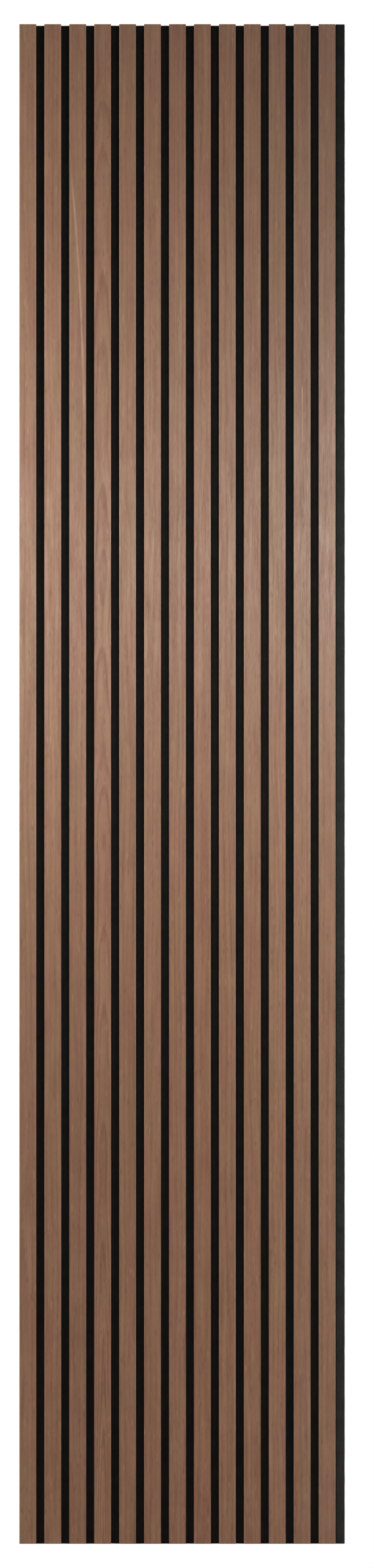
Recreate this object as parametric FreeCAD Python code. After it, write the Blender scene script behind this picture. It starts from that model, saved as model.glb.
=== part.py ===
import FreeCAD
import Part
import os

# Acoustic slat wall panel: veneered laths glued side by side, with open gaps, to a sheet of black felt.
# Millimetres. The origin is the middle of the wall face, which is the back of the felt. +Z runs up along
# the slats, +X to the right as seen from the room, and the room lies towards -Y.

# Slats
slat_count = 13
slat_width = 27.0
slat_length = 2440.0
core_thickness = 11.4
veneer_thickness = 0.6
veneer_arris_radius = 0.4  # long edges of the show face, eased by sanding

# Felt
felt_thickness = 9.0
gap_width = 13.0  # bare felt between two slats
edge_strip_width = 15.0  # bare felt past the last slat, which makes the gap to the next panel
felt_set_back_top = 2.3  # behind the slats the felt ends this far short of their tops

# Places that follow from the sizes above
slat_pitch = slat_width + gap_width
panel_width = slat_count * slat_width + (slat_count - 1) * gap_width + edge_strip_width
panel_left = -panel_width / 2
panel_right = panel_left + panel_width
panel_bottom = -slat_length / 2
panel_top = panel_bottom + slat_length
strip_left = panel_right - edge_strip_width
felt_top = panel_top - felt_set_back_top
wall_plane = 0.0
felt_face = wall_plane - felt_thickness
core_face = felt_face - core_thickness
show_face = core_face - veneer_thickness


def extrude_section(edges, bottom, length):
    """Runs a closed section, drawn in the plane z = 0, straight up from the given height."""
    section = Part.Face(Part.Wire(edges))
    section.translate(FreeCAD.Vector(0, 0, bottom))
    return section.extrude(FreeCAD.Vector(0, 0, length))


def lines_through(points):
    """Straight edges from each point to the next."""
    return [Part.LineSegment(a, b).toShape() for a, b in zip(points, points[1:])]


def rectangle_edges(left, right, front, back):
    """Outline of a square-edged strip: left and right in x, front and back in y."""
    corners = [
        FreeCAD.Vector(left, back, 0),
        FreeCAD.Vector(left, front, 0),
        FreeCAD.Vector(right, front, 0),
        FreeCAD.Vector(right, back, 0),
    ]
    return lines_through(corners + corners[:1])


def eased_strip_edges(left, right, front, back, radius):
    """Outline of a strip whose two front corners are rounded."""
    middle_of_arc = radius * (1 - 0.5 ** 0.5)
    left_arc = Part.Arc(
        FreeCAD.Vector(left, front + radius, 0),
        FreeCAD.Vector(left + middle_of_arc, front + middle_of_arc, 0),
        FreeCAD.Vector(left + radius, front, 0),
    )
    right_arc = Part.Arc(
        FreeCAD.Vector(right - radius, front, 0),
        FreeCAD.Vector(right - middle_of_arc, front + middle_of_arc, 0),
        FreeCAD.Vector(right, front + radius, 0),
    )
    front_line = lines_through([left_arc.EndPoint, right_arc.StartPoint])
    back_lines = lines_through([
        right_arc.EndPoint,
        FreeCAD.Vector(right, back, 0),
        FreeCAD.Vector(left, back, 0),
        left_arc.StartPoint,
    ])
    return [left_arc.toShape()] + front_line + [right_arc.toShape()] + back_lines


def felt_backing():
    """The felt sheet, level with the slats at the foot and flush with the first one.

    It is cut back a little behind the slat tops, and its bare strip past the last slat runs to full height.
    """
    corners = [
        FreeCAD.Vector(panel_left, wall_plane, panel_bottom),
        FreeCAD.Vector(panel_right, wall_plane, panel_bottom),
        FreeCAD.Vector(panel_right, wall_plane, panel_top),
        FreeCAD.Vector(strip_left, wall_plane, panel_top),
        FreeCAD.Vector(strip_left, wall_plane, felt_top),
        FreeCAD.Vector(panel_left, wall_plane, felt_top),
    ]
    back_face = Part.Face(Part.Wire(lines_through(corners + corners[:1])))
    return back_face.extrude(FreeCAD.Vector(0, -felt_thickness, 0))


def slat_core(left):
    """One fibreboard lath, square sawn on all sides, glued to the face of the felt."""
    section = rectangle_edges(left, left + slat_width, core_face, felt_face)
    return extrude_section(section, panel_bottom, slat_length)


def slat_veneer(left):
    """One strip of veneer, flush with the sides and ends of its lath."""
    section = eased_strip_edges(left, left + slat_width, show_face, core_face, veneer_arris_radius)
    return extrude_section(section, panel_bottom, slat_length)


def panel_pieces():
    """Every piece of the panel by name, slats numbered from the left."""
    pieces = {"felt_backing": felt_backing()}
    for index in range(slat_count):
        left = panel_left + index * slat_pitch
        number = f"{index + 1:02d}"
        pieces[f"slat_core_{number}"] = slat_core(left)
        pieces[f"slat_veneer_{number}"] = slat_veneer(left)
    return pieces


os.makedirs("parts", exist_ok=True)
for name, shape in panel_pieces().items():
    shape.exportStep(f"parts/{name}.step")
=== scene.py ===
import bpy
import math
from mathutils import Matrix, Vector


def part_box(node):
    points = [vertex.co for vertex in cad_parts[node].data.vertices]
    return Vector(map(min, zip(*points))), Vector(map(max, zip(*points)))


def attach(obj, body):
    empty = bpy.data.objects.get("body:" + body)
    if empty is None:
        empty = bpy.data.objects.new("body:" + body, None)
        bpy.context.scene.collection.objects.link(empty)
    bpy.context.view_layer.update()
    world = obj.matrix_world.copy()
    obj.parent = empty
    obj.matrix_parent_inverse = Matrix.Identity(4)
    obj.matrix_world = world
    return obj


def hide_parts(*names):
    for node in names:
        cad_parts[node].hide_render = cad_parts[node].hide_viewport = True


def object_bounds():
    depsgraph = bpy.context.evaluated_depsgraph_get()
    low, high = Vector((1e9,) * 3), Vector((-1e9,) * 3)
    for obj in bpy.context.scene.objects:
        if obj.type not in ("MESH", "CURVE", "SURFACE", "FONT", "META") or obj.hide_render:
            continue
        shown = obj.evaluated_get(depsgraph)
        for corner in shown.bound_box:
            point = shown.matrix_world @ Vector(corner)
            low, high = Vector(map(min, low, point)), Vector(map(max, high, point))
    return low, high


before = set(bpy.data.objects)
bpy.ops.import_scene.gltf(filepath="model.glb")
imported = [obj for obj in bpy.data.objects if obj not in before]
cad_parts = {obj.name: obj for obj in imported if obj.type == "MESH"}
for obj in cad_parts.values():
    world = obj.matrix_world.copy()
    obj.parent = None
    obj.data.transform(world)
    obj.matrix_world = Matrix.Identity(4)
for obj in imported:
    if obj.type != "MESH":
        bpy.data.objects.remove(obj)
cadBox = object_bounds()
slatCount = sum(1 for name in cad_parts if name.startswith("slat_veneer_"))
slatNumbers = [f"{index + 1:02d}" for index in range(slatCount)]
print("frame loaded:", len(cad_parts), "nodes,", slatCount, "slats")

noiseMiddle = 0.5  # a noise runs from nought to one
plainWhite = (1.0, 1.0, 1.0)
quarterTurn = math.pi / 2
upwards = (0.0, 0.0, 1.0)
toTheRight = (1.0, 0.0, 0.0)


# Small helpers for node trees
def addNode(tree, kind, **settings):
    node = tree.nodes.new(kind)
    for key, value in settings.items():
        setattr(node, key, value)
    return node


def feed(tree, socket, value):
    if isinstance(value, bpy.types.NodeSocket):
        tree.links.new(value, socket)
    elif value is not None:
        socket.default_value = value


def feedAll(tree, node, values):
    for socket, value in zip(node.inputs, values):
        feed(tree, socket, value)
    return node.outputs[0]


def calc(tree, operation, first, second=None, third=None, clamp=False):
    node = addNode(tree, "ShaderNodeMath", operation=operation, use_clamp=clamp)
    return feedAll(tree, node, (first, second, third))


def calcVector(tree, operation, first, second):
    node = addNode(tree, "ShaderNodeVectorMath", operation=operation)
    return feedAll(tree, node, (first, second))


def joinAxes(tree, x, y, z):
    return feedAll(tree, addNode(tree, "ShaderNodeCombineXYZ"), (x, y, z))


def splitAxes(tree, vector):
    node = addNode(tree, "ShaderNodeSeparateXYZ")
    feed(tree, node.inputs[0], vector)
    return node.outputs


def movePattern(tree, vector, **settings):
    node = addNode(tree, "ShaderNodeMapping")
    feed(tree, node.inputs["Vector"], vector)
    for key, value in settings.items():
        node.inputs[key.title()].default_value = value
    return node.outputs[0]


def rescale(tree, value, fromLow, fromHigh, toLow, toHigh, soft=False):
    node = addNode(tree, "ShaderNodeMapRange", interpolation_type="SMOOTHSTEP" if soft else "LINEAR")
    return feedAll(tree, node, (value, fromLow, fromHigh, toLow, toHigh))


def noise(tree, vector, detail=2.0):
    node = addNode(tree, "ShaderNodeTexNoise", noise_dimensions="3D")
    feed(tree, node.inputs["Vector"], vector)
    node.inputs["Scale"].default_value = 1.0
    node.inputs["Detail"].default_value = detail
    return node.outputs[0]


def centredNoise(tree, vector, detail=2.0):
    return calc(tree, "SUBTRACT", noise(tree, vector, detail), noiseMiddle)


def mixColours(tree, amount, first, second, kind="MIX"):
    node = addNode(tree, "ShaderNodeMix", data_type="RGBA", blend_type=kind)
    firstColour, secondColour, mixedColour = 6, 7, 2  # sockets that a Mix node keeps for colours
    feed(tree, node.inputs[0], amount)
    feed(tree, node.inputs[firstColour], first)
    feed(tree, node.inputs[secondColour], second)
    return node.outputs[mixedColour]


def mixShaders(tree, amount, first, second):
    return feedAll(tree, addNode(tree, "ShaderNodeMixShader"), (amount, first, second))


def opaque(colour):
    return tuple(colour) + (1.0,)


def shaded(colour, share):
    return opaque(c * s for c, s in zip(colour, share))


# Inputs are labels with their usual values, and the one without a value is a place
def startGroup(name, inputs, outputs):
    group = bpy.data.node_groups.new(name, "ShaderNodeTree")
    for label, value in inputs.items():
        kind = "NodeSocketVector" if value is None else "NodeSocketFloat"
        socket = group.interface.new_socket(label, in_out="INPUT", socket_type=kind)
        if value is not None:
            socket.default_value = value
    for label in outputs:
        group.interface.new_socket(label, in_out="OUTPUT", socket_type="NodeSocketFloat")
    entry = addNode(group, "NodeGroupInput")
    leave = addNode(group, "NodeGroupOutput")
    return group, entry.outputs, leave.inputs


def useGroup(tree, group, **values):
    node = addNode(tree, "ShaderNodeGroup", node_tree=group)
    for key, value in values.items():
        label = "".join(" " + letter if letter.isupper() else letter for letter in key).title()
        feed(tree, node.inputs[label], value)
    return node.outputs


def startMaterial(name):
    material = bpy.data.materials.new(name)
    material.use_nodes = True
    tree = material.node_tree
    shader = next(node for node in tree.nodes if node.type == "BSDF_PRINCIPLED")
    place = addNode(tree, "ShaderNodeTexCoord").outputs["Object"]
    return material, tree, shader, place


def roughen(tree, shader, height, spec):
    bump = addNode(tree, "ShaderNodeBump")
    bump.inputs["Strength"].default_value = spec["bumpStrength"]
    bump.inputs["Distance"].default_value = spec["bumpDepth"]
    feed(tree, bump.inputs["Height"], height)
    feed(tree, shader.inputs["Normal"], bump.outputs["Normal"])


def dress(nodeName, material):
    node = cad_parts[nodeName]
    node.data.materials.clear()
    node.data.materials.append(material)


# Wood patterns. Grain runs along z, and x is counted from the middle of the slat
def alongGrain(tree, axes, width, run, seed):
    return joinAxes(tree, calc(tree, "DIVIDE", axes[0], width), seed, calc(tree, "DIVIDE", axes[2], run))


def makeGrainSway():
    group, given, out = startGroup("Grain Sway", {"Vector": None, "Seed": 0.0, "Amount": 0.003}, ["Sideways"])
    swayRun = 0.55
    swayAcross = 0.12
    where = alongGrain(group, splitAxes(group, given["Vector"]), swayAcross, swayRun, given["Seed"])
    feed(group, out["Sideways"], calc(group, "MULTIPLY", centredNoise(group, where), given["Amount"]))
    return group


def makeLongFibres():
    group, given, out = startGroup(
        "Long Fibres", {"Vector": None, "Seed": 0.0, "Width": 0.005, "Run": 0.1}, ["Streak"])
    axes = splitAxes(group, given["Vector"])
    where = alongGrain(group, axes, given["Width"], given["Run"], given["Seed"])
    feed(group, out["Streak"], centredNoise(group, where))
    return group


def makeGrowthRings():
    group, given, out = startGroup(
        "Growth Rings",
        {"Vector": None, "Seed": 0.0, "Heart Across": 0.1, "Heart Depth": 0.05, "Lean": 0.0,
         "Bulge": 0.0, "Bulge Run": 0.34, "Ring Width": 0.005, "Waver": 0.004},
        ["Late Wood", "Ring Tone"],
    )
    waverAcross = 0.03
    waverRun = 0.16
    lateStart = 0.38  # where in a ring the late wood sets in, and where it is at its darkest
    darkest = 0.82
    faintest = 0.35  # late wood of the weakest year
    axes = splitAxes(group, given["Vector"])
    across = calc(group, "SUBTRACT", axes[0], given["Heart Across"])
    depth = calc(group, "MULTIPLY_ADD", axes[2], given["Lean"], given["Heart Depth"])
    along = calc(group, "DIVIDE", axes[2], given["Bulge Run"])
    swell = centredNoise(group, joinAxes(group, 0.0, given["Seed"], along), detail=1.0)
    depth = calc(group, "MULTIPLY_ADD", swell, given["Bulge"], depth)
    acrossSquared = calc(group, "MULTIPLY", across, across)
    radius = calc(group, "SQRT", calc(group, "ADD", acrossSquared, calc(group, "MULTIPLY", depth, depth)))
    where = alongGrain(group, axes, waverAcross, waverRun, given["Seed"])
    waver = calc(group, "MULTIPLY", centredNoise(group, where), given["Waver"])
    count = calc(group, "DIVIDE", calc(group, "ADD", radius, waver), given["Ring Width"])
    age = calc(group, "FRACT", count)
    rise = rescale(group, age, lateStart, darkest, 0.0, 1.0, soft=True)
    fall = rescale(group, age, darkest, 1.0, 1.0, 0.0, soft=True)
    year = calc(group, "ADD", calc(group, "FLOOR", count), given["Seed"])
    chance = addNode(group, "ShaderNodeTexWhiteNoise", noise_dimensions="1D")
    feed(group, chance.inputs["W"], year)
    strength = rescale(group, chance.outputs["Value"], 0.0, 1.0, faintest, 1.0)
    late = calc(group, "MULTIPLY", calc(group, "MULTIPLY", rise, fall), strength)
    feed(group, out["Late Wood"], late)
    feed(group, out["Ring Tone"], calc(group, "SUBTRACT", chance.outputs["Value"], noiseMiddle))
    return group


def makeOpenPores():
    group, given, out = startGroup(
        "Open Pores", {"Vector": None, "Seed": 0.0, "Width": 0.001, "Run": 0.012, "Amount": 0.5}, ["Pore"])
    poreSize = 0.34  # share of its cell that a pore takes
    poreHeart = 0.136  # share in which it is at its deepest
    shallowest = 0.3
    axes = splitAxes(group, given["Vector"])
    where = joinAxes(
        group,
        calc(group, "ADD", calc(group, "DIVIDE", axes[0], given["Width"]), given["Seed"]),
        calc(group, "DIVIDE", axes[2], given["Run"]),
        0.0,
    )
    cells = addNode(group, "ShaderNodeTexVoronoi", voronoi_dimensions="2D", feature="F1")
    cells.inputs["Scale"].default_value = 1.0
    feed(group, cells.inputs["Vector"], where)
    dash = rescale(group, cells.outputs["Distance"], poreHeart, poreSize, 1.0, 0.0, soft=True)
    tone = addNode(group, "ShaderNodeSeparateColor")
    feed(group, tone.inputs[0], cells.outputs["Color"])
    kept = calc(group, "LESS_THAN", tone.outputs[0], given["Amount"])
    depth = calc(group, "MULTIPLY", kept, rescale(group, tone.outputs[1], 0.0, 1.0, shallowest, 1.0))
    feed(group, out["Pore"], calc(group, "MULTIPLY", dash, depth))
    return group


# Paler along each long edge of a slat: edge wear, and a painted highlight where the arrises catch light
def makeEdgeWearAndHighlight():
    group, given, out = startGroup(
        "Edge Wear And Highlight", {"Vector": None, "Seed": 0.0, "Half Width": 0.0135, "Reach": 0.0015}, ["Rubbed"])
    patchRun = 0.06
    patchLow = 0.3  # noise below this is rubbed least, and above patchHigh most
    patchHigh = 0.7
    leastWearAndHighlight = 0.35
    axes = splitAxes(group, given["Vector"])
    start = calc(group, "SUBTRACT", given["Half Width"], given["Reach"])
    line = rescale(group, calc(group, "ABSOLUTE", axes[0]), start, given["Half Width"], 0.0, 1.0, soft=True)
    along = calc(group, "DIVIDE", axes[2], patchRun)
    where = joinAxes(group, calc(group, "SIGN", axes[0]), given["Seed"], along)
    patches = rescale(group, noise(group, where), patchLow, patchHigh, leastWearAndHighlight, 1.0)
    feed(group, out["Rubbed"], calc(group, "MULTIPLY", line, patches))
    return group


def makePaleLine():
    group, given, out = startGroup(
        "Pale Line",
        {"Vector": None, "Top": 0.5, "Length": 0.1, "Across": 0.0, "Lean": 0.0, "Bend": 0.0, "Width": 0.0015},
        ["Line"],
    )
    patchRun = 0.045
    patchLow = 0.35  # noise below this leaves the line faintest, and above patchHigh whole
    patchHigh = 0.65
    faintest = 0.5
    endShare = 0.12  # part of the length over which each end fades
    axes = splitAxes(group, given["Vector"])
    down = calc(group, "SUBTRACT", given["Top"], axes[2])
    slope = calc(group, "MULTIPLY_ADD", down, given["Bend"], given["Lean"])
    path = calc(group, "MULTIPLY_ADD", down, slope, given["Across"])
    off = calc(group, "ABSOLUTE", calc(group, "SUBTRACT", axes[0], path))
    line = rescale(group, calc(group, "DIVIDE", off, given["Width"]), 0.0, 1.0, 1.0, 0.0, soft=True)
    share = calc(group, "DIVIDE", down, given["Length"])
    start = rescale(group, share, 0.0, endShare, 0.0, 1.0, soft=True)
    stop = rescale(group, share, 1.0 - endShare, 1.0, 1.0, 0.0, soft=True)
    patch = noise(group, joinAxes(group, 0.0, given["Top"], calc(group, "DIVIDE", axes[2], patchRun)))
    patches = rescale(group, patch, patchLow, patchHigh, faintest, 1.0)
    kept = calc(group, "MULTIPLY", calc(group, "MULTIPLY", start, stop), patches)
    feed(group, out["Line"], calc(group, "MULTIPLY", line, kept))
    return group


# Felt and board pattern: short threads crossing at three angles, and soft clumps
def makeFibreMat():
    group, given, out = startGroup(
        "Fibre Mat",
        {"Vector": None, "Seed": 0.0, "Thread Width": 0.0006, "Thread Run": 0.008, "Clump": 0.015},
        ["Thread", "Mottle"],
    )
    threadTurns = ((0.3, 0.2, 0.4), (0.9, 1.1, -0.5), (-0.7, 0.6, 1.2))
    ridgeStart = 0.78
    stretch = joinAxes(group, given["Thread Width"], given["Thread Width"], given["Thread Run"])
    shift = joinAxes(group, given["Seed"], given["Seed"], given["Seed"])
    strongest = 0.0
    for turn in threadTurns:
        turned = movePattern(group, given["Vector"], rotation=turn)
        where = calcVector(group, "ADD", calcVector(group, "DIVIDE", turned, stretch), shift)
        # a thread runs where the noise, spread from -1 to 1, crosses nought
        level = calc(group, "MULTIPLY_ADD", noise(group, where, detail=1.0), 2.0, -1.0)
        nearness = calc(group, "SUBTRACT", 1.0, calc(group, "ABSOLUTE", level))
        ridge = rescale(group, nearness, ridgeStart, 1.0, 0.0, 1.0, soft=True)
        strongest = calc(group, "MAXIMUM", strongest, ridge)
    clumpSize = joinAxes(group, given["Clump"], given["Clump"], given["Clump"])
    clumpPlace = calcVector(group, "ADD", calcVector(group, "DIVIDE", given["Vector"], clumpSize), shift)
    feed(group, out["Thread"], strongest)
    feed(group, out["Mottle"], centredNoise(group, clumpPlace, detail=3.0))
    return group


grainSway = makeGrainSway()
longFibres = makeLongFibres()
growthRings = makeGrowthRings()
openPores = makeOpenPores()
edgeWearAndHighlight = makeEdgeWearAndHighlight()
paleLine = makePaleLine()
fibreMat = makeFibreMat()
print("pattern groups made:", len(bpy.data.node_groups))


# Walnut veneer, matt lacquered. Every slat is cut from its own place in the log
walnut = {
    "mean": (0.2335, 0.1052, 0.0497),
    "darkShare": (0.735, 0.605, 0.545),
    "paleShare": (1.285, 1.475, 1.63),
    "violet": (1.034, 0.986, 1.046),
    "olive": (0.969, 1.014, 0.954),
    "poreShare": (0.34, 0.27, 0.24),
    # the edge colour below is edge wear and a painted highlight along the arrises
    "wearAndHighlight": (1.22, 1.30, 1.38),
    "blush": (0.018, -0.006, -0.028),
    "sway": 0.012, "shadeMiddle": 0.5,
    "fineWidth": 0.0017, "fineRun": 0.020, "fineShare": 0.46, "fineSeed": 1.7,
    "streakWidth": 0.0074, "streakRun": 0.105, "streakShare": 0.98, "streakSeed": 4.1,
    "broadWidth": 0.014, "broadRun": 0.55, "broadShare": 0.68, "broadSeed": 7.9,
    "curlWidth": 0.07, "curlRun": 0.05, "curlShare": 0.36, "curlSeed": 13.7,
    "mottleWidth": 0.0042, "mottleRun": 0.009, "mottleShare": 0.30, "mottleSeed": 23.9,
    "veinWidth": 0.0042, "veinRun": 0.24, "veinShare": 0.26, "veinSeed": 19.1,
    "veinStart": 0.13, "veinFull": 0.27,
    "hueWidth": 0.011, "hueRun": 0.17, "hueShare": 3.6, "hueSeed": 11.3, "hueMiddle": 0.5,
    "poreWidth": 0.0009, "poreRun": 0.014, "poreAmount": 0.22, "poreDark": 0.30, "poreSeed": 0.0,
    "fleckWidth": 0.006, "fleckRun": 0.022, "fleckAmount": 0.12, "fleckDark": 0.34, "fleckSeed": 5.3,
    "glintWidth": 0.005, "glintRun": 0.026, "glintAmount": 0.12, "glintPale": 0.42, "glintSeed": 8.9,
    "ringShare": 0.34, "ringMean": 0.12, "toneShare": 0.14, "waver": 0.006, "bulgeRun": 0.34,
    # how far in from the edge, and how strongly, the edge wear and painted highlight reach
    "wearAndHighlightReach": 0.0016, "wearAndHighlightShare": 0.6,
    "paleLine": (1.72, 2.25, 2.98), "paleLineShare": 0.95,
    "roughness": 0.43, "roughFine": -0.38, "roughStreak": -0.22, "roughPore": 0.2, "specular": 0.60,
    "bumpStrength": 0.25, "bumpDepth": 0.0002,
    "seedStep": 17.3,
}
# Heart of the log seen from each slat: metres across and behind it, lean of the log, ring width.
# Tone is light or dark, and blush is redder above nought, greyer below. Shine is taken off the roughness.
# A cut's own ringShare, waver or bulgeRun takes the place of the walnut's
slatCuts = (
    {"heart": -0.120, "depth": 0.050, "lean": 0.006, "bulge": 0.02, "ring": 0.0075,
     "tone": 1.050, "blush": -0.6, "shine": 0.015},
    {"heart": 0.095, "depth": 0.070, "lean": -0.004, "bulge": 0.02, "ring": 0.0065,
     "tone": 1.050, "blush": -0.4},
    {"heart": 0.150, "depth": 0.040, "lean": 0.010, "bulge": 0.03, "ring": 0.0080,
     "tone": 0.965, "blush": 0.6,
     "paleLine": {"top": 0.99, "length": 0.42, "across": -0.0112,
                  "lean": 0.095, "bend": -0.105, "width": 0.0030}},
    {"heart": 0.001, "depth": 0.024, "lean": 0.018, "bulge": 0.008, "ring": 0.0030,
     "tone": 0.980, "blush": 0.5, "bulgeRun": 0.15, "waver": 0.004, "ringShare": 0.60},
    {"heart": -0.090, "depth": 0.060, "lean": 0.003, "bulge": 0.02, "ring": 0.0065,
     "tone": 0.935, "blush": 1.4},
    {"heart": 0.130, "depth": 0.055, "lean": 0.008, "bulge": 0.02, "ring": 0.0075,
     "tone": 1.000, "blush": 0.3},
    {"heart": -0.160, "depth": 0.045, "lean": -0.006, "bulge": 0.03, "ring": 0.0070,
     "tone": 0.940, "blush": 0.9},
    {"heart": 0.080, "depth": 0.075, "lean": 0.005, "bulge": 0.02, "ring": 0.0065,
     "tone": 0.946, "blush": 1.4},
    {"heart": -0.110, "depth": 0.050, "lean": 0.004, "bulge": 0.02, "ring": 0.0080,
     "tone": 0.944, "blush": 1.0},
    {"heart": 0.170, "depth": 0.050, "lean": -0.003, "bulge": 0.03, "ring": 0.0070,
     "tone": 0.980, "blush": 0.3},
    {"heart": -0.140, "depth": 0.065, "lean": 0.007, "bulge": 0.02, "ring": 0.0065,
     "tone": 0.983, "blush": -0.7},
    {"heart": 0.100, "depth": 0.045, "lean": 0.004, "bulge": 0.02, "ring": 0.0075,
     "tone": 1.006, "blush": -1.9, "shine": 0.015,
     "paleLine": {"top": 0.645, "length": 0.10, "across": 0.0,
                  "lean": 0.002, "bend": 0.0, "width": 0.0015}},
    {"heart": -0.125, "depth": 0.060, "lean": -0.005, "bulge": 0.02, "ring": 0.0080,
     "tone": 1.023, "blush": -2.0, "shine": 0.035},
)


def cutValue(cut, name):
    return cut.get(name, walnut[name])


def slatPatterns(tree, centred, seed, cut, halfWidth):
    spec = walnut
    sway = useGroup(tree, grainSway, vector=centred, seed=seed, amount=spec["sway"])["Sideways"]
    grain = calcVector(tree, "ADD", centred, joinAxes(tree, sway, 0.0, 0.0))

    def drawnOut(group, kind, **more):
        return useGroup(tree, group, vector=grain, seed=seed + spec[kind + "Seed"],
                        width=spec[kind + "Width"], run=spec[kind + "Run"], **more)

    patterns = {}
    for kind in ("fine", "streak", "broad", "curl", "mottle", "vein", "hue"):
        patterns[kind] = drawnOut(longFibres, kind)["Streak"]
    for kind in ("pore", "fleck", "glint"):
        patterns[kind] = drawnOut(openPores, kind, amount=spec[kind + "Amount"])["Pore"]
    rings = useGroup(
        tree, growthRings, vector=grain, seed=seed,
        heartAcross=cut["heart"], heartDepth=cut["depth"], lean=cut["lean"],
        bulge=cut["bulge"], bulgeRun=cutValue(cut, "bulgeRun"),
        ringWidth=cut["ring"], waver=cutValue(cut, "waver"),
    )
    patterns["lateWood"] = rings["Late Wood"]
    patterns["ringTone"] = rings["Ring Tone"]
    wornAndLit = useGroup(tree, edgeWearAndHighlight, vector=centred, seed=seed, halfWidth=halfWidth, reach=spec["wearAndHighlightReach"])
    patterns["wearAndHighlight"] = wornAndLit["Rubbed"]
    return patterns


# Nought is the darkest wood and one the palest
def slatShade(tree, patterns, cut):
    spec = walnut
    ringShare = cutValue(cut, "ringShare")
    vein = rescale(tree, patterns["vein"], spec["veinStart"], spec["veinFull"], 0.0, 1.0, soft=True)
    shade = spec["shadeMiddle"]
    for kind in ("fine", "streak", "broad", "curl", "mottle"):
        shade = calc(tree, "MULTIPLY_ADD", patterns[kind], spec[kind + "Share"], shade)
    shade = calc(tree, "MULTIPLY_ADD", patterns["glint"], spec["glintPale"], shade)
    shade = calc(tree, "MULTIPLY_ADD", vein, spec["veinShare"], shade)
    shade = calc(tree, "MULTIPLY_ADD", patterns["ringTone"], spec["toneShare"], shade)
    shade = calc(tree, "MULTIPLY_ADD", patterns["lateWood"], -ringShare, shade)
    # late wood darkens no slat as a whole
    return calc(tree, "ADD", shade, spec["ringMean"] * ringShare, clamp=True)


def slatColour(tree, patterns, centred, cut):
    spec = walnut
    tint = [cut["tone"] * (1.0 + cut["blush"] * share) for share in spec["blush"]]
    mean = shaded(spec["mean"], tint)
    shade = slatShade(tree, patterns, cut)
    wood = mixColours(tree, shade, shaded(mean, spec["darkShare"]), shaded(mean, spec["paleShare"]))
    hueLevel = calc(tree, "MULTIPLY_ADD", patterns["hue"], spec["hueShare"], spec["hueMiddle"], clamp=True)
    hues = mixColours(tree, hueLevel, opaque(spec["violet"]), opaque(spec["olive"]))
    wood = mixColours(tree, 1.0, wood, hues, "MULTIPLY")
    # painted highlight and edge wear: paler along the long edges of the slat
    pale = mixColours(tree, 1.0, wood, opaque(spec["wearAndHighlight"]), "MULTIPLY")
    wood = mixColours(tree, calc(tree, "MULTIPLY", patterns["wearAndHighlight"], spec["wearAndHighlightShare"]), wood, pale)
    if "paleLine" in cut:
        line = useGroup(tree, paleLine, vector=centred, **cut["paleLine"])["Line"]
        lineShare = calc(tree, "MULTIPLY", line, spec["paleLineShare"])
        wood = mixColours(tree, lineShare, wood, shaded(mean, spec["paleLine"]))
    dark = calc(tree, "MULTIPLY", patterns["pore"], spec["poreDark"])
    dark = calc(tree, "MAXIMUM", dark, calc(tree, "MULTIPLY", patterns["fleck"], spec["fleckDark"]))
    return mixColours(tree, dark, wood, shaded(mean, spec["poreShare"]))


def makeWalnut(number, cut, slatMiddle, halfWidth):
    spec = walnut
    material, tree, shader, place = startMaterial(f"walnut_{number}")
    centred = movePattern(tree, place, location=(-slatMiddle, 0.0, 0.0))
    patterns = slatPatterns(tree, centred, spec["seedStep"] * int(number), cut, halfWidth)
    feed(tree, shader.inputs["Base Color"], slatColour(tree, patterns, centred, cut))
    rough = spec["roughness"] - cut.get("shine", 0.0)
    for kind in ("fine", "streak", "pore"):
        rough = calc(tree, "MULTIPLY_ADD", patterns[kind], spec["rough" + kind.title()], rough)
    feed(tree, shader.inputs["Roughness"], rough)
    shader.inputs["Specular IOR Level"].default_value = spec["specular"]
    roughen(tree, shader, calc(tree, "SUBTRACT", patterns["fine"], patterns["pore"]), spec)
    return material


for number, cut in zip(slatNumbers, slatCuts):
    low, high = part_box(f"slat_veneer_{number}")
    dress(f"slat_veneer_{number}", makeWalnut(number, cut, (low.x + high.x) / 2, (high.x - low.x) / 2))
print("walnut on", slatCount, "veneers")


# Threads and clumps of the felt or the board
def matPattern(tree, place, spec):
    return useGroup(tree, fibreMat, vector=place, seed=spec["seed"], threadWidth=spec["threadWidth"],
                    threadRun=spec["threadRun"], clump=spec["clump"])


# Laths of black fibreboard, dyed through, with saw lines along the sides
board = {
    "dark": (0.010, 0.0092, 0.0080),
    "pale": (0.029, 0.0268, 0.0235),
    "baseShade": 0.3, "threadShare": 0.45,
    "threadWidth": 0.0004, "threadRun": 0.003, "clump": 0.006, "seed": 3.0,
    "sawWidth": 0.0012, "sawRun": 0.3, "sawShare": 0.6, "sawSeed": 9.0,
    "roughness": 0.78, "roughSaw": 0.3, "specular": 0.25,
    "bumpStrength": 0.35, "bumpDepth": 0.0003,
}


def makeBoard():
    spec = board
    material, tree, shader, place = startMaterial("black_fibreboard")
    mat = matPattern(tree, place, spec)
    axes = splitAxes(tree, place)
    sideways = joinAxes(tree, calc(tree, "ADD", axes[0], axes[1]), 0.0, axes[2])
    saw = useGroup(tree, longFibres, vector=sideways, seed=spec["sawSeed"],
                   width=spec["sawWidth"], run=spec["sawRun"])["Streak"]
    shade = calc(tree, "MULTIPLY_ADD", mat["Thread"], spec["threadShare"], spec["baseShade"])
    shade = calc(tree, "ADD", shade, mat["Mottle"])
    shade = calc(tree, "MULTIPLY_ADD", saw, spec["sawShare"], shade, clamp=True)
    black = mixColours(tree, shade, opaque(spec["dark"]), opaque(spec["pale"]))
    feed(tree, shader.inputs["Base Color"], black)
    rough = calc(tree, "MULTIPLY_ADD", saw, spec["roughSaw"], spec["roughness"])
    feed(tree, shader.inputs["Roughness"], rough)
    shader.inputs["Specular IOR Level"].default_value = spec["specular"]
    roughen(tree, shader, calc(tree, "ADD", saw, mat["Thread"]), spec)
    return material


boardMaterial = makeBoard()
for number in slatNumbers:
    dress(f"slat_core_{number}", boardMaterial)
print("fibreboard on", slatCount, "laths")


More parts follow.
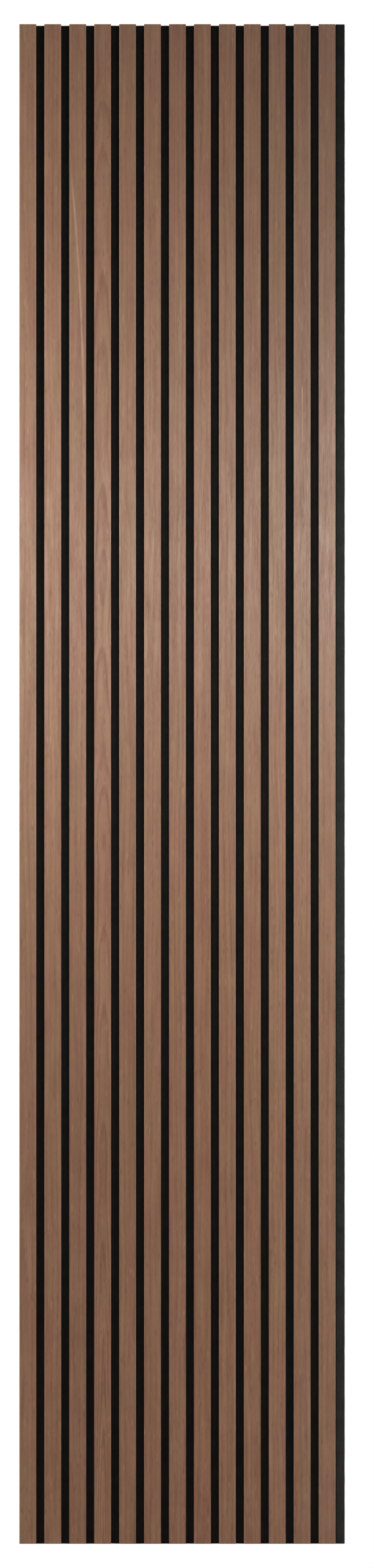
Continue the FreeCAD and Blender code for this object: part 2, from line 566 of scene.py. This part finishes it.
# Needle-punched black felt, one sheet behind all the slats
felt = {
    "cellAcross": 0.006, "cellAlong": 0.010,
    "edgeRound": 0.0012, "edgeSteps": 2, "edgeAngle": 60,
    "napDepth": 0.0006, "napSize": 0.016, "napDetail": 2,
    "dark": (0.0069, 0.0067, 0.0062),
    "pale": (0.0283, 0.0277, 0.0262),
    # painted light on the bare strip: how much paler it is drawn, and how fast that sets in
    "stripPaintedLight": (1.70, 1.75, 1.76), "stripLightStart": 0.004,
    "baseShade": 0.28, "threadShare": 0.5, "mottleShare": 0.9,
    "threadWidth": 0.0006, "threadRun": 0.009, "clump": 0.018, "seed": 1.0,
    "punchSize": 0.0016, "punchReach": 0.45, "punchDark": 0.35,
    "roughness": 0.92, "roughMottle": 0.1, "specular": 0.1, "sheen": 0.12, "sheenRough": 0.45,
    "bumpStrength": 0.7, "bumpDepth": 0.0006,
}


def makeFelt(stripLeft):
    spec = felt
    material, tree, shader, place = startMaterial("black_felt")
    mat = matPattern(tree, place, spec)
    punch = addNode(tree, "ShaderNodeTexVoronoi", voronoi_dimensions="3D", feature="F1")
    punch.inputs["Scale"].default_value = 1.0 / spec["punchSize"]
    feed(tree, punch.inputs["Vector"], place)
    hole = rescale(tree, punch.outputs["Distance"], 0.0, spec["punchReach"], 1.0, 0.0, soft=True)
    shade = calc(tree, "MULTIPLY_ADD", mat["Thread"], spec["threadShare"], spec["baseShade"])
    shade = calc(tree, "MULTIPLY_ADD", mat["Mottle"], spec["mottleShare"], shade)
    shade = calc(tree, "MULTIPLY_ADD", hole, -spec["punchDark"], shade, clamp=True)
    black = mixColours(tree, shade, opaque(spec["dark"]), opaque(spec["pale"]))
    # painted light: the bare strip past the last slat is drawn paler, for the side light that reaches it and
    # not the gaps
    side = splitAxes(tree, place)[0]
    onStrip = rescale(tree, side, stripLeft, stripLeft + spec["stripLightStart"], 0.0, 1.0, soft=True)
    stripPaintedLight = mixColours(tree, 1.0, black, opaque(spec["stripPaintedLight"]), "MULTIPLY")
    feed(tree, shader.inputs["Base Color"], mixColours(tree, onStrip, black, stripPaintedLight))
    rough = calc(tree, "MULTIPLY_ADD", mat["Mottle"], spec["roughMottle"], spec["roughness"])
    feed(tree, shader.inputs["Roughness"], rough)
    shader.inputs["Specular IOR Level"].default_value = spec["specular"]
    shader.inputs["Sheen Weight"].default_value = spec["sheen"]
    shader.inputs["Sheen Roughness"].default_value = spec["sheenRough"]
    raised = calc(tree, "ADD", mat["Thread"], mat["Mottle"])
    roughen(tree, shader, calc(tree, "SUBTRACT", raised, hole), spec)
    return material


def applyModifier(piece, kind, name, **settings):
    modifier = piece.modifiers.new(name, kind)
    for key, value in settings.items():
        setattr(modifier, key, value)
    bpy.ops.object.modifier_apply(modifier=modifier.name)


def cutAcross(point, normal):
    bpy.ops.object.mode_set(mode="EDIT")
    bpy.ops.mesh.select_all(action="SELECT")
    bpy.ops.mesh.bisect(plane_co=point, plane_no=normal)
    bpy.ops.object.mode_set(mode="OBJECT")


def addFeltGrid(low, high):
    size = high - low
    bpy.ops.object.select_all(action="DESELECT")
    bpy.ops.mesh.primitive_grid_add(
        x_subdivisions=round(size.x / felt["cellAcross"]),
        y_subdivisions=round(size.z / felt["cellAlong"]),
        size=1.0,
        location=((low.x + high.x) / 2, low.y, (low.z + high.z) / 2),
        rotation=(quarterTurn, 0.0, 0.0),
    )
    piece = bpy.context.active_object
    piece.name = "felt_sheet"
    piece.scale = (size.x, size.z, 1.0)
    bpy.ops.object.transform_apply(location=True, rotation=True, scale=True)
    return piece


# The felt ends a little below the slat tops, and the strip past the last slat keeps its full height
def trimBehindSlats(piece, front, stripLeft):
    decimals = 5
    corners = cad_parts["felt_backing"].data.vertices
    heights = sorted({round(corner.co.z, decimals) for corner in corners})
    behindSlatsTop = heights[-2]  # the highest is the top of the bare strip
    cutAcross((0.0, front, behindSlatsTop), upwards)
    cutAcross((stripLeft, front, 0.0), toTheRight)
    for face in piece.data.polygons:
        face.select = face.center.x < stripLeft and face.center.z > behindSlatsTop
    bpy.ops.object.mode_set(mode="EDIT")
    bpy.ops.mesh.select_mode(type="FACE")
    bpy.ops.mesh.delete(type="FACE")
    bpy.ops.object.mode_set(mode="OBJECT")


# Bare felt is uneven, and felt glued under a slat stays flat
def raiseNap(piece, front):
    spec = felt
    slatSpans = [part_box(f"slat_core_{number}") for number in slatNumbers]
    bareVertices = []
    for vertex in piece.data.vertices:
        onFront = vertex.co.y < front + spec["napDepth"]
        underSlat = any(span[0].x < vertex.co.x < span[1].x for span in slatSpans)
        if not (onFront and underSlat):
            bareVertices.append(vertex.index)
    bare = piece.vertex_groups.new(name="bareFelt")
    bare.add(bareVertices, 1.0, "REPLACE")
    nap = bpy.data.textures.new("feltNap", "CLOUDS")
    nap.noise_scale = spec["napSize"]
    nap.noise_depth = spec["napDetail"]
    applyModifier(piece, "DISPLACE", "unevenNap", texture=nap, texture_coords="LOCAL",
                  strength=spec["napDepth"], mid_level=1.0, vertex_group=bare.name)


def makeFeltSheet():
    spec = felt
    low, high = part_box("felt_backing")
    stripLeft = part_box(f"slat_core_{slatNumbers[-1]}")[1].x
    size = high - low
    piece = addFeltGrid(low, high)
    trimBehindSlats(piece, low.y, stripLeft)
    applyModifier(piece, "SOLIDIFY", "feltThickness", thickness=size.y, offset=-1.0)
    applyModifier(piece, "BEVEL", "softCutEdges", width=spec["edgeRound"], segments=spec["edgeSteps"],
                  limit_method="ANGLE", angle_limit=math.radians(spec["edgeAngle"]))
    raiseNap(piece, low.y)
    bpy.ops.object.shade_smooth()
    piece.data.materials.append(makeFelt(stripLeft))
    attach(piece, "root")
    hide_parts("felt_backing")
    return piece


feltSheet = makeFeltSheet()
print("felt sheet:", len(feltSheet.data.polygons), "faces")


# Floor, air and lamps. Light on the upper half is a little cool, and on the lower half a little warm
floorSpec = {"size": 40.0, "colour": (0.86, 0.86, 0.86), "roughness": 0.9, "specular": 0.1,
             "nearRadius": 0.3, "farRadius": 1.25}
airSpec = {"ambient": 0.05, "white": 1.0}
coolTint = (0.965, 1.0, 0.985)
warmTint = (1.045, 1.0, 0.985)
openSpread = 180
lamps = {
    "frontLeft": {"place": (-0.55, -1.25, 0.36), "aim": (-0.55, 0.0, 0.36), "size": (0.5, 0.2),
                  "power": 2.4, "tint": coolTint},
    "frontMiddle": {"place": (0.0, -1.25, 0.36), "aim": (0.0, 0.0, 0.36), "size": (0.5, 0.2),
                    "power": 2.15, "tint": coolTint},
    "frontRight": {"place": (0.55, -1.25, 0.41), "aim": (0.55, 0.0, 0.41), "size": (0.5, 0.2),
                   "power": 4.75, "tint": coolTint},
    "leftStrip": {"place": (-0.85, -0.48, 0.54), "aim": (-0.2, 0.0, 0.5), "size": (0.3, 1.1),
                  "power": 7.9, "tint": (0.97, 1.0, 1.025)},
    "rightStrip": {"place": (0.95, -0.62, -0.14), "aim": (0.1, 0.0, -0.14), "size": (0.4, 1.0),
                   "power": 6.0, "tint": (1.03, 1.0, 1.0)},
    "rightLow": {"place": (1.2, -0.9, -0.8), "aim": (0.1, 0.0, -0.8), "size": (0.4, 0.4),
                 "power": 0.95, "tint": (1.08, 1.0, 0.975)},
    # shines down along the gaps, so that the felt shows in the lower half too
    "highFront": {"place": (0.0, -1.8, 1.7), "aim": (0.05, 0.0, -0.8), "size": (0.6, 0.3),
                  "power": 0.8, "spread": 50, "tint": (1.06, 1.0, 0.985)},
    "leftFoot": {"place": (-0.9, -0.9, -0.6), "aim": (-0.1, 0.0, -1.22), "size": (0.3, 0.3),
                 "power": 0.27, "spread": 60, "tint": warmTint},
    "rightFoot": {"place": (0.9, -0.9, -0.6), "aim": (0.1, 0.0, -1.22), "size": (0.3, 0.3),
                  "power": 0.16, "spread": 60, "tint": warmTint},
    "rearBox": {"place": (0.6, 2.6, 0.6), "aim": (0.0, 0.0, 0.0), "size": (2.0, 2.0), "power": 60.0},
}
cameraSpec = {"place": (0.0078, -4.0, 0.0), "frameHeight": 2.5175}


# The white is for the camera and for reflections only
def isSeen(tree):
    path = addNode(tree, "ShaderNodeLightPath")
    seen = calc(tree, "MAXIMUM", path.outputs["Is Camera Ray"], path.outputs["Is Glossy Ray"])
    return calc(tree, "MAXIMUM", seen, path.outputs["Is Transmission Ray"])


def addGlow(tree, kind, strength):
    glow = addNode(tree, kind)
    glow.inputs["Color"].default_value = opaque(plainWhite)
    glow.inputs["Strength"].default_value = strength
    return glow.outputs[0]


# Pale near the panel, where its shadow falls, and white further out
def makeFloor():
    spec = floorSpec
    bpy.ops.object.select_all(action="DESELECT")
    bpy.ops.mesh.primitive_plane_add(size=spec["size"], location=(0.0, 0.0, cadBox[0].z))
    floor = bpy.context.active_object
    floor.name = "studioFloor"
    material, tree, shader, place = startMaterial("pale_floor")
    shader.inputs["Base Color"].default_value = opaque(spec["colour"])
    shader.inputs["Roughness"].default_value = spec["roughness"]
    shader.inputs["Specular IOR Level"].default_value = spec["specular"]
    axes = splitAxes(tree, place)
    length = addNode(tree, "ShaderNodeVectorMath", operation="LENGTH")
    feed(tree, length.inputs[0], joinAxes(tree, axes[0], axes[1], 0.0))
    fade = rescale(tree, length.outputs["Value"], spec["nearRadius"], spec["farRadius"], 0.0, 1.0, soft=True)
    glow = addGlow(tree, "ShaderNodeEmission", airSpec["white"])
    surface = mixShaders(tree, calc(tree, "MULTIPLY", isSeen(tree), fade), shader.outputs[0], glow)
    out = next(node for node in tree.nodes if node.type == "OUTPUT_MATERIAL")
    feed(tree, out.inputs["Surface"], surface)
    floor.data.materials.append(material)


def makeAir():
    world = bpy.data.worlds.new("studioAir")
    bpy.context.scene.world = world
    world.use_nodes = True
    tree = world.node_tree
    tree.nodes.clear()
    dim = addGlow(tree, "ShaderNodeBackground", airSpec["ambient"])
    white = addGlow(tree, "ShaderNodeBackground", airSpec["white"])
    out = addNode(tree, "ShaderNodeOutputWorld")
    feed(tree, out.inputs["Surface"], mixShaders(tree, isSeen(tree), dim, white))


def makeLamp(name, spec):
    light = bpy.data.lights.new(name, "AREA")
    light.shape = "RECTANGLE"
    light.size, light.size_y = spec["size"]
    light.energy = spec["power"]
    light.spread = math.radians(spec.get("spread", openSpread))
    light.color = spec.get("tint", plainWhite)
    lamp = bpy.data.objects.new(name, light)
    bpy.context.scene.collection.objects.link(lamp)
    lamp.location = spec["place"]
    direction = Vector(spec["aim"]) - Vector(spec["place"])
    lamp.rotation_euler = direction.to_track_quat("-Z", "Y").to_euler()
    lamp.visible_camera = False


def makeCamera():
    spec = cameraSpec
    data = bpy.data.cameras.new("photoCamera")
    data.type = "ORTHO"
    data.ortho_scale = spec["frameHeight"]
    camera = bpy.data.objects.new("photoCamera", data)
    bpy.context.scene.collection.objects.link(camera)
    camera.location = spec["place"]
    camera.rotation_euler = (quarterTurn, 0.0, 0.0)
    bpy.context.scene.camera = camera


makeFloor()
makeAir()
for lampName, lampSpec in lamps.items():
    makeLamp(lampName, lampSpec)
makeCamera()
bpy.context.scene.view_settings.view_transform = "Standard"
print("stage set:", len(lamps), "lamps")
